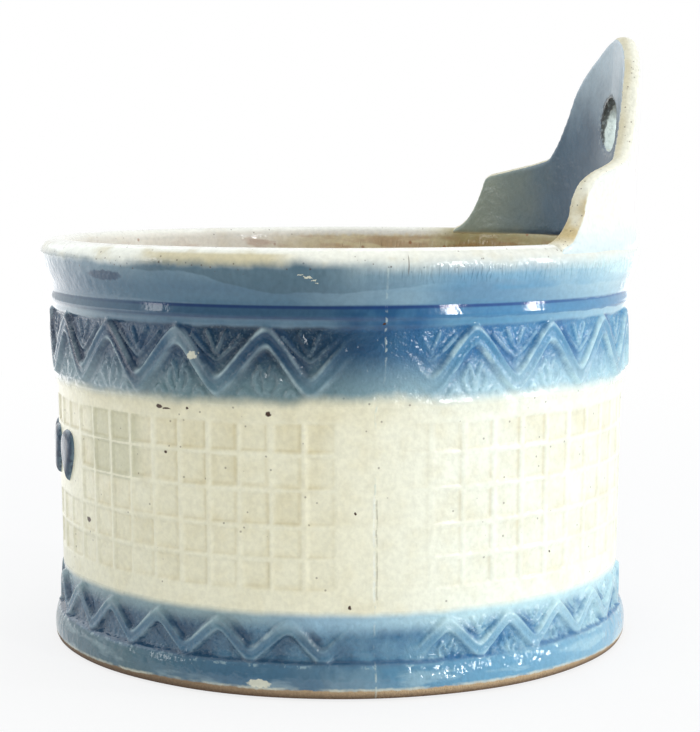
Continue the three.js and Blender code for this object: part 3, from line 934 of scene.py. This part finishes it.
def wall_glaze(half):
    """Salt-white glaze with cobalt bands, over the wall's relief, and tan inside."""
    glaze = new_recipe(half.name + "_glaze")
    x, y, level = glaze.place()
    turn = x.math("ARCTAN2", 0 - y) * math.degrees(1)
    if half.way > 0:
        turn = turn % FULL_TURN
    offset = offset_from_seam(half, turn)
    behind = seam_distance(offset) * half.way
    # Painted light: this mask marks the back half, where strong light falls from the right, and swaps in
    # lighter, bluer copies of the colours there
    sky_lit_side = behind.step(-14, 26) * (1 - turn.band(185, 240, 25) * 0.4)
    # Painted light: paler still towards the far right, where that light washes the colours out
    far = behind.step(20, 60) * turn.fall(158, 190)
    # Painted light and shade: this mask marks the front left, lit from the left, where the fascia is
    # painted paler and the shadow beside the ribbons darker
    left = turn.fall(36, 56) * turn.step(-30, 0)
    slow, cloud, fine = glaze.noise(24, 2), glaze.noise(6, 4), glaze.noise(1.4, 3)
    grain, brushed = glaze.noise(0.8, 3), glaze.noise(14, 4, (1, 1, 4))
    outer = glaze.tone("outer")
    edge_level = level + slow.drift(2.4) + cloud.drift(2.2) + fine.drift(0.5)
    deep = glaze.mix(sky_lit_side, DEEP_BLUE, DEEP_SKY)
    middle = glaze.mix(sky_lit_side, MIDDLE_BLUE, MIDDLE_SKY)
    low_blue = glaze.mix(sky_lit_side, LOW_BLUE, LOW_SKY)
    pale = glaze.mix(sky_lit_side, PALE_BLUE, PALE_SKY)
    soft = glaze.mix(sky_lit_side, SEA_GREY, PALE_SKY)

    # The ivory panel: tan in its cells, specked all over
    cell = glaze.tone("cell")
    tan = cell * (cloud * 0.9 + 0.35) * (1 - sky_lit_side * 0.3) * (level.step(22, 45) * 0.4 + 0.6)
    upper_left = turn.band(29, 41, 4) * level.band(47, 62, 1)
    # Painted highlights: pale rib tops on the front left, where the upright ribs catch light from the
    # left
    painted_rib_glints = glaze.tone("rib") * turn.band(24, 42, 6) * cloud.step(0.35, 0.6)
    ivory = glaze.layers(
        CREAM,
        (sky_lit_side, COOL_CREAM),
        (cloud.step(0.4, 0.8) * 0.25, CREAM_TAN),
        (tan * 0.85, CREAM_TAN),
        (cell.step(0, 0.05) * upper_left * 0.55, CELL_GREY),
        (painted_rib_glints * 0.6, CREAM),
        (level.step(59, 65) * (1 - sky_lit_side) * slow * 0.5, CREAM_TAN),
        (glaze.specks(2.4, 0.14, 0.3) * 0.5, BARE_CLAY_DARK),
    )

    # The upper band: deep above, sea grey below, where it runs out into the ivory
    low = (level + slow.drift(5)).fall(68, 79)
    # Painted dark reflection: darkens the ground and ribbon faces that look towards the camera
    dark_reflection = turn.step(50, 60) * turn.fall(74, 97) * (1 - low)
    ground = glaze.layers(
        deep,
        (cloud.step(0.3, 0.75) * 0.35 + far * 0.55 + sky_lit_side * 0.2, middle),
        (dark_reflection * 0.8, DARK_REFLECTION_BLUE),
        (low * (sky_lit_side * 0.1 + 0.6), glaze.mix(turn.fall(36, 50), soft, pale)),
    )
    dull = glaze.mix(sky_lit_side * cloud, soft, glaze.mix(sky_lit_side, SEA_GREY, DULL_SKY))
    # The ribbon's face, darkened by the painted dark reflection, and on the falling limb near 40 degrees
    # by painted shade and dark reflection
    face = glaze.layers(
        middle,
        (low * (sky_lit_side * 0.1 + 0.35) + far * 0.15, dull),
        ((dark_reflection + turn.band(37, 43, 4)).step(0, 1) * 0.7, deep),
        (turn.band(53, 57, 3) * 0.55, pale),
    )
    # How strong the painted shadow beside falling limbs is: strongest at the front left, weaker over the
    # rest of the front half
    shade = (left * 0.7 + (1 - sky_lit_side) * 0.25) * level.step(69, 73)
    blues, noises = (ground, face, deep, pale), (cloud, fine)
    upper = band_colour(glaze, half, UPPER_RIBBON, half.upper, offset, level, blues, noises, shade)
    lifted = turn.band(80, 92, 8) + sky_lit_side + 0.35
    in_upper = (edge_level - lifted).step(*UPPER_BLUE_FADE)

    # The lower band, with a thin pale halo above it
    plain = glaze.mix(far * 0.5 + sky_lit_side * 0.15, low_blue, PALE_SKY)
    ground = glaze.layers(
        deep, (0.45, middle), (cloud.step(0.25, 0.65), plain), (turn.fall(55, 66) * 0.45, deep)
    )
    face = glaze.layers(
        plain,
        (level.step(12, 17) * (sky_lit_side * 0.2 + 0.45), soft),
        (cloud.step(0.42, 0.7) * sky_lit_side * 0.45, middle),
    )
    # How strong the painted shadow beside the lower band's falling limbs is: on the front half, in
    # patches
    shade = (1 - sky_lit_side) * cloud.step(0.25, 0.6) * 0.35
    blues = (ground, face, deep, pale)
    lower = band_colour(glaze, half, LOWER_RIBBON, half.lower, offset, level, blues, noises, shade)
    halo = (level * 0.6 + edge_level * 0.4 + turn.band(76, 106, 8)).step(14.5, 18.6)
    halo_blue = glaze.mix(sky_lit_side, HALO_BLUE, PALE_SKY)
    halo_blue = glaze.mix(turn.step(62, 80), glaze.mix(0.5, soft, pale), halo_blue)
    lower = glaze.mix(halo * (sky_lit_side * 0.2 + 0.75), lower, halo_blue)
    in_lower = (level * 0.7 + edge_level * 0.3).fall(*LOWER_BLUE_FADE)
    colour = glaze.layers(ivory, (in_upper, upper), (in_lower, lower))

    # The bead, and above it the darker fascia between dark lines of pooled cobalt and painted shadow
    bead_share = cloud * 0.25 + turn.fall(25, 40) * 0.2 + sky_lit_side * 0.12
    bead_blue = glaze.mix(bead_share, middle, glaze.mix(sky_lit_side, PALE_BLUE, RIM_SKY))
    # Painted light: the fascia is painted paler on the front left, where light falls from the left
    fascia = (level + cloud.drift(sky_lit_side * 1.6)).band(*FASCIA, 0.3) * (0.9 - left * 0.35)
    murky = level.band(83, 89.5, 0.8) * behind.near(2, 5, 12) * cloud.step(0.15, 0.45)
    # Edge lines of the fascia: cobalt pooled in the crevices and painted shadow there, painted weaker
    # where more light falls, on the back half, the far side and the left
    lines = (level + cloud.drift(0.7)).near(FASCIA[0], 0.15, 0.7) * (1 - sky_lit_side).step(0.3, 1) * 0.4
    lines = level.near(FASCIA[1], 0.15, 0.6) * (1 - far * 0.6) + lines
    line_share = lines * slow.step(0.1, 0.4) * (0.9 - left * 0.6)
    colour = glaze.layers(
        colour,
        ((level + cloud.drift(1.2)).step(*BEAD_START), glaze.mix(far * 0.5, bead_blue, PALE_SKY)),
        (fascia, glaze.mix(fine * 0.5 + sky_lit_side * 0.1 + 0.2, deep, middle)),
        (murky * 0.95, glaze.mix(cloud.step(0.4, 0.7) * 0.5, deep, middle)),
        (line_share, glaze.mix(sky_lit_side, COBALT_LINE, SKY_LINE)),
    )

    # The rim: uneven blue that pales towards the lip, with one darker run and a smudge
    streak = brushed.step(0.35, 0.55) * level.band(92, 95, 1) * (sky_lit_side * 0.35 + 0.3) * (1 - far * 0.6)
    worn = behind.near(0, 4, 16) * 0.3 + level.step(91, 98) * 0.33
    run_line = 95.4 - turn.step(54, 73) * 4.4 + turn.step(80, 104) * 2 + cloud.drift(1.6)
    run = (level - run_line).step(0, 0.5) * turn.band(50, 94, 12) * (1 - turn.step(78, 90) * 0.5)
    streaks = glaze.noise(1.2, 2, (1, 1, 0.12))
    smudge = spot(turn + cloud.drift(5), level + fine.drift(1.2), RIM_SMUDGE)
    rim = glaze.layers(
        glaze.mix(sky_lit_side, RIM_BLUE, RIM_SKY),
        (far * (level.step(89, 95) * 0.6 + 0.5), PALE_SKY),
        (turn.fall(18, 45) * (1 - far) * 0.6, middle),
        (streak, middle),
        (worn * slow.step(0.2, 0.6), pale),
        (run * (streaks * 0.5 + 0.4), glaze.mix(0.55, deep, FOOT_GREY)),
        (smudge * 0.85, deep),
    )

    # The lip, cream where the glaze drew back from it, with pits below
    soft_top = (level + cloud.drift(1.6)).step(*SOFT_RIM_CREAM)
    top = glaze.mix(behind.step(-7, 3), edge_level.step(*RIM_CREAM), soft_top)
    lip = glaze.layers(
        INNER_LIP_WHITE,
        (outer, glaze.mix(sky_lit_side, LIP_WHITE, COOL_LIP)),
        (cloud.step(0.5, 0.75) * (outer * 0.3 + 0.2) * (1 - sky_lit_side * 0.6), CREAM_TAN),
        (turn.band(52, 70, 8) * level.band(97.2, 99.4, 0.8) * 0.75, CREAM_TAN),
        (glaze.specks(1.5, 0.2, 0.3) * 0.6, BARE_CLAY_DARK),
    )
    pits = glaze.specks(1.3, 0.22, 0.4) * level.band(95.6, 98.2, 0.6) * turn.band(30, 92, 6)

    # The foot: a plain blue band, thin in places, that ends above bare clay
    foot_blue = glaze.layers(
        low_blue,
        (far * 0.2, PALE_SKY),
        (slow.step(0.35, 0.6) * (1 - sky_lit_side) * 0.7, middle),
        (turn.fall(38, 66) * (cloud * 0.5 + 0.4), FOOT_GREY),
        (behind.near(-5, 3, 12) * cloud.step(0.3, 0.6) * 0.2, pale),
        (brushed.step(0.5, 0.65) * level.band(2, 6, 1.4) * 0.35, pale),
    )
    waved = level + cloud.drift(1.3)
    crazed = waved.near(7.6, 0.1, 0.5) * fine.step(0.5, 0.62) * cloud.step(0.45, 0.6)
    broken = spots(turn + fine.drift(1.8), level + grain.drift(1.4), GLAZE_BREAKS)
    clay_top = turn.band(60, 115, 35) * BARE_CLAY_SWELL + BARE_CLAY_TOP
    above_clay = level - clay_top + cloud.drift(0.9) + fine.drift(0.6)
    bare = above_clay.fall(-0.2, 0.25)
    # Painted contact shadow: the bare clay darkens towards its bottom edge, and more so on the left
    clay = (level.step(0.3, 2.4) + glaze.noise(0.5, 3).drift(0.6)) * (turn.step(45, 105) * 0.6 + 0.4)
    colour = glaze.layers(
        colour,
        (level.step(*RIM_START), rim),
        (top, lip),
        (pits * outer * 0.65, BARE_CLAY_DARK),
        (waved.fall(*FOOT_TOP), foot_blue),
        (waved.near(8.4, 0.1, 0.7) * slow.step(0.3, 0.5) * 0.7, deep),
        (crazed * 0.5, pale),
        (broken.step(0, 0.9) * outer * 0.7, CREAM),
        (above_clay.fall(0.2, 0.8) * cloud.step(0.35, 0.6) * 0.6, CREAM),
        (bare, glaze.mix(clay, BARE_CLAY_DARK, BARE_CLAY)),
    )

    # Inside: tan with rust spots, paler towards the mouth and olive under the crest
    near_front = (0 - y + level * 0.3).step(15, 50) * level.step(60, 90)
    under_crest = turn.band(165, 232, 14) * level.step(80, 92)
    inside_lip = (level + fine.drift(1.5)).step(98, 99.4) * (1 - under_crest)
    inside = glaze.layers(
        INSIDE_TAN,
        ((edge_level + slow.drift(8)).step(85, 95), INSIDE_PALE),
        (near_front, INNER_LIP_WHITE),
        (cloud.step(0.4, 0.7) * y.step(-40, 0) * 0.4, CREAM_TAN),
        (under_crest * 0.85, INSIDE_OLIVE),
        (glaze.specks(4, 0.2, 0.35) * 0.7, INSIDE_RUST),
        (brushed.step(0.45, 0.62) * level.band(94, 98, 1.5) * turn.near(*half.rust) * 0.4, INSIDE_RUST),
    )

    # The mould's seam with its flash and cracks, the iron spots and a hairline
    seam_turn = level.step(64, 74) * SEAM_LINE_STEP + SEAM_LINE_TURN + cloud.drift(0.5)
    from_seam = turn - seam_turn
    dashes = glaze.noise(5, 1, (1, 1, 0.5)).step(0.4, 0.56) * outer * (1 - top)
    flash = from_seam.near(0, 0.05, 0.3) * dashes * fine.step(0.42, 0.6)
    cracked = level.band(23, 32, 2) + level.band(36, 45, 2)
    beside = from_seam.near(-0.15, 0.05, 0.3) * cracked * fine.step(0.3, 0.5) * outer
    crack = from_seam.near(0.3, 0.04, 0.24) * cracked * fine.step(0.3, 0.55) * outer
    iron = spots(turn + grain.drift(0.9), level + fine.drift(0.9), IRON_SPOTS)
    colour = glaze.layers(
        colour,
        ((1 - outer) * (1 - inside_lip) * (1 - bare), inside),
        (flash * 0.5, glaze.mix(0.4, pale, CREAM)),
        (beside * 0.6, LIP_WHITE),
        (crack * 0.28, BARE_CLAY_DARK),
        (iron * outer, IRON),
        (spot(turn, level, RIM_HAIRLINE) * 0.6, BARE_CLAY_DARK),
    )

    # Fine relief: stippled in the bands, even on the bead, rolled and dashed at the edges
    stipple = level.band(68, 83, 1) + level.band(9, 17, 0.6)
    even = level.band(83.6, 89, 0.5)
    height = glaze.noise(0.9, 2).drift(stipple * 0.2 + 0.03) + cloud.drift(0.3 - even * 0.22)
    height = height + glaze.noise(2.4, 2).drift(level.band(1, 18, 2) * 0.12 + 0.16 - even * 0.13)
    roll = level.near(66.4, 0, 2.4) * cloud.step(0.35, 0.55) * 0.16
    roll = roll + glaze.noise(2.4, 1).drift(level.band(4.5, 8, 0.6)) * sky_lit_side * 0.3
    dashes = glaze.noise(0.9, 1, (1, 1, 0.15)).step(0.35, 0.6) * plateau(level, 92, 96.2, 96.2, 97.7)
    height = height + roll + dashes * sky_lit_side * 0.25 + glaze.noise(0.35, 1).drift(bare) * 0.2
    height = height + flash * 0.05 - crack * 0.15 - iron * 0.12
    roughness = bare * 0.6 + top * 0.08 + level.band(20, 66, 1) * 0.2 + fine * 0.06 + 0.06
    return glaze.glazed(mottled(glaze, colour), roughness, height)


def crest_inner(glaze, x, level, edge, cloud):
    """The crest's inner face: grey-blue, greener and paler towards its far shoulder and its top, with
    painted reflections on its near half.
    """
    blue = glaze.mix(cloud.step(0.3, 0.7) * 0.6, CREST_DEEP, CREST_BLUE)
    painted_edge_reflection = edge.band(0.04, 0.3, 0.1) * (x > 0) * level.step(125, 132)
    foot_line = level.near(100.4, 0.2, 1) * (x + cloud * 20).step(-44, -10)
    return glaze.layers(
        blue,
        ((x + cloud * 10).fall(-58, -20) * 0.95, CREST_GREEN),
        ((level + cloud * 10).step(130, 154) * 0.8, CREST_SKY),
        # Painted reflections: a pale patch at mid height and a pale streak down the top of the near edge
        (x.step(-12, 4) * level.band(112, 124, 4) * 0.2, CREST_REFLECTION_PALE),
        (painted_edge_reflection * 0.6, CREST_REFLECTION_PALE),
        (level.fall(99.2, 100.2), glaze.mix(0.6, INSIDE_PALE, INSIDE_OLIVE)),
        (foot_line * 0.75, DEEP_BLUE),
    )


def crest_glaze():
    """Grey-blue on the inner face, cream where the glaze left the edges, pale outside."""
    glaze = new_recipe("crest_glaze")
    x, y, level = glaze.place()
    cloud, fine = glaze.noise(9, 3), glaze.noise(1.4, 3)
    edge, outside = glaze.tone("edge"), glaze.tone("outside")
    outer = glaze.layers(
        CREST_FOOT_SKY,
        (level.step(99, 107), glaze.mix(cloud.step(0.4, 0.7) * 0.5, CREST_WHITE, CREST_COOL)),
    )
    hole_up = level - NAIL_HOLE_LEVEL
    from_hole = length(x, hole_up)
    in_hole = (from_hole + fine.drift(1)).fall(NAIL_HOLE_RADIUS + 0.1, NAIL_HOLE_RADIUS + 0.6)
    bare_toe = level.band(103, 111, 3) * (x > 0) * cloud.step(0.3, 0.6)
    rim_cream = glaze.layers(
        CREAM,
        (cloud.step(0.4, 0.65) * 0.5 + (1 - outside) * 0.4, CREAM_TAN),
        (outside * 0.4 + 0.3, LIP_WHITE),
        (bare_toe * 0.85, TOE_TAN),
        (glaze.specks(1.3, 0.2, 0.5) * 0.7, BARE_CLAY_DARK),
        (in_hole * 0.9, glaze.mix((hole_up + fine * 3).step(2.5, 5.5), HOLE_PALE, HOLE_GREY)),
    )
    ragged = from_hole + fine.drift(2)
    deep_in = length(x, y) - crest_radius(NAIL_HOLE_LEVEL)
    gap = hole_up * 0.22 + fine.drift(1.5) + 1.1 - deep_in
    ring = ragged.band(NAIL_HOLE_RADIUS - 2, NAIL_HOLE_RADIUS + 0.6, 0.4) * gap.step(-0.3, 0.3)
    ring = ring * (hole_up * 0.4 - x).step(-2, 2)
    crumbs = glaze.noise(1.1, 3).step(0.5, 0.62) * (from_hole - NAIL_HOLE_RADIUS).fall(0.5, 3.5)
    bare = (edge + fine.drift(0.5)).step(0.35, 0.7)
    colour = glaze.layers(
        crest_inner(glaze, x, level, edge, cloud),
        (outside, outer),
        (bare, rim_cream),
        (ring * 0.9, HOLE_DARK),
        (crumbs * (1 - outside) * 0.45, HOLE_CRUMBS),
        (glaze.specks(5, 0.07, 0.3) * 0.8, IRON),
    )
    height = cloud.drift(0.25) + fine.drift(bare * 0.3 + 0.1) - ring * 0.2
    return glaze.glazed(mottled(glaze, colour), bare * 0.3 + fine * 0.1 + 0.16, height)


def floor_glaze():
    """Tan glaze inside, bare ground clay underneath."""
    glaze = new_recipe("floor_glaze")
    cloud, fine = glaze.noise(11, 4), glaze.noise(1.3, 3)
    under = glaze.place()[2].fall(0.4, 1)
    clay = glaze.layers(
        BARE_CLAY_DARK,
        (cloud.step(0.3, 0.7), BARE_CLAY),
        (glaze.specks(1.8, 0.25, 0.3) * 0.6, BARE_CLAY_DARK),
    )
    colour = glaze.layers(
        INSIDE_TAN,
        (cloud.step(0.3, 0.75) * 0.5, CREAM_TAN),
        (glaze.specks(4.5, 0.2, 0.4) * 0.7, INSIDE_RUST),
        (under, clay),
    )
    height = cloud.drift(0.3) + fine.drift(under * 0.25 + 0.03)
    return glaze.glazed(colour, under * 0.6 + fine * 0.12 + 0.18, height)


def drop_glaze():
    """Thick dark cobalt, pale where it broke over the drop's edge."""
    glaze = new_recipe("drop_glaze")
    x, y, level = glaze.place()
    cloud, fine = glaze.noise(3, 3), glaze.noise(1, 2)
    thin = (length(x, y) - BODY_RADIUS).fall(0.7, 1.6) * fine.step(0.3, 0.6)
    colour = glaze.layers(DROP_DEEP, (cloud.step(0.3, 0.7), DROP_BLUE), (thin * 0.6, DROP_PALE))
    return glaze.glazed(colour, fine * 0.1 + 0.14, cloud.drift(0.2))


# The picture's floor, air and lamps
FLOOR_REACH = 3.0
FLOOR_WHITE_NEAR = 0.8
FLOOR_WHITE_DISTANCES = (120, 600)
GLOW_TURN = CAMERA_TURN - 135
GLOW_LEVEL = 0.95
NEAR_SIDE_DIMMING = 0.6
AIR_LEVEL = 0.75
DIM_SIDE_LEVEL = 0.14
DIM_SIDE = (CAMERA_TURN - 20, 10)
DAYLIGHT = (1, 1, 1)
COOL_LIGHT = (0.78, 0.9, 1)

# The lamps: how far round from the camera, how high, distance and size in metres, and power
Lamp = namedtuple("Lamp", "name round rise distance width height power colour")
LAMPS = [
    Lamp("near_window", 42, 11, 1.2, 0.08, 0.36, 3.4, DAYLIGHT),
    Lamp("far_window", 78, 11, 1.2, 0.09, 0.36, 3.4, DAYLIGHT),
    Lamp("left_window", -73, 16, 1.3, 0.16, 0.4, 0.8, DAYLIGHT),
    Lamp("left_wall", -125, 32, 1.4, 1.5, 0.9, 3.6, COOL_LIGHT),
    Lamp("ceiling", 120, 68, 1.5, 1.2, 1.2, 2.9, DAYLIGHT),
]


def direction(turn, rise=0):
    turn, rise = math.radians(turn), math.radians(rise)
    return Vector((math.sin(turn) * math.cos(rise), -math.cos(turn) * math.cos(rise), math.sin(rise)))


def towards(turn, x, y):
    """How far a point lies in the direction of a turn."""
    return x * math.sin(math.radians(turn)) - y * math.cos(math.radians(turn))


def stage_floor():
    """A pale floor that the crock shades. Seen or mirrored it is mostly white, and mirrored it is
    brighter on the crock's left side and dimmer towards the camera."""
    paper = new_recipe("pale_paper")
    shade = paper.mix(paper.noise(2, 2), PAPER_COOL, PAPER_WHITE)
    lit = paper.node("ShaderNodeBsdfDiffuse", {}, {"Color": shade}, "BSDF")
    x, y, _ = paper.place()
    camera, glossy, through = paper.ray_kinds()
    glow = towards(GLOW_TURN, x, y).step(80, 320) * GLOW_LEVEL
    dimming = towards(CAMERA_TURN, x, y).step(60, 300) * NEAR_SIDE_DIMMING
    level = glossy * (glow - dimming) + 1
    white = paper.node("ShaderNodeEmission", {}, {"Color": level, "Strength": 1.0}, "Emission")
    seen = camera.math("MAXIMUM", glossy).math("MAXIMUM", through)
    share = length(x, y).step(*FLOOR_WHITE_DISTANCES) * (1 - FLOOR_WHITE_NEAR) + FLOOR_WHITE_NEAR
    mixed = paper.node("ShaderNodeMixShader", {}, {0: seen * share, 1: lit, 2: white})
    mesh = bpy.data.meshes.new("stage_floor")
    corners = [(x * FLOOR_REACH, y * FLOOR_REACH, 0) for x, y in ((-1, -1), (1, -1), (1, 1), (-1, 1))]
    mesh.from_pydata(corners, [], [(0, 1, 2, 3)])
    mesh.materials.append(paper.finish(mixed))
    add_object("stage_floor", mesh)


def stage_air():
    """Even light from all round, dimmer in mirrors on the camera's side, and white behind."""
    world = bpy.data.worlds.new("studio_air")
    bpy.context.scene.world = world
    air = Recipe(world)
    way = air.node("ShaderNodeTexCoord", output="Generated")
    sides = {0: way, 1: direction(*DIM_SIDE)}
    facing = air.node("ShaderNodeVectorMath", {"operation": "DOT_PRODUCT"}, sides, "Value")
    camera, glossy, through = air.ray_kinds()
    seen = camera.math("MAXIMUM", through)
    mirrored = 1 - facing.step(0.1, 0.95) * (1 - DIM_SIDE_LEVEL)
    level = (1 - glossy) * AIR_LEVEL + glossy * mirrored
    level = level * (1 - seen) + seen
    background = air.node("ShaderNodeBackground", {}, {"Color": level, "Strength": 1.0}, "Background")
    air.finish(background, "ShaderNodeOutputWorld")


def hang_lamps():
    for lamp in LAMPS:
        light = bpy.data.lights.new(lamp.name, "AREA")
        light.shape = "RECTANGLE"
        light.size, light.size_y = lamp.width, lamp.height
        light.energy = lamp.power
        light.color = lamp.colour
        holder = add_object(lamp.name, light)
        way = direction(CAMERA_TURN + lamp.round, lamp.rise)
        holder.location = Vector((0, 0, RIM_LEVEL * MM / 2)) + way * lamp.distance
        holder.rotation_euler = way.to_track_quat("Z", "Y").to_euler()


def set_up_camera():
    camera = bpy.data.cameras.new("photographer")
    camera.lens = LENS
    camera.sensor_width = SENSOR
    camera.clip_start, camera.clip_end = 0.01, 20
    holder = add_object("photographer", camera)
    way = direction(CAMERA_TURN)
    holder.location = way * (CAMERA_DISTANCE * MM) + Vector((0, 0, CAMERA_HEIGHT * MM))
    pitch, heading = 90 - CAMERA_PITCH_DOWN, CAMERA_TURN - CAMERA_YAW_RIGHT
    holder.rotation_euler = (math.radians(pitch), 0, math.radians(heading))
    bpy.context.scene.camera = holder


set_up_camera()
bpy.context.scene.view_settings.view_transform = "Standard"
stage_floor()
stage_air()
hang_lamps()
for half in (FRONT, BACK):
    wall_half(half, wall_glaze(half))
floor_slab(floor_glaze())
hanging_crest(crest_glaze())
drop_material = drop_glaze()
for number in range(1, DROP_COUNT + 1):
    front_drop(number, drop_material)
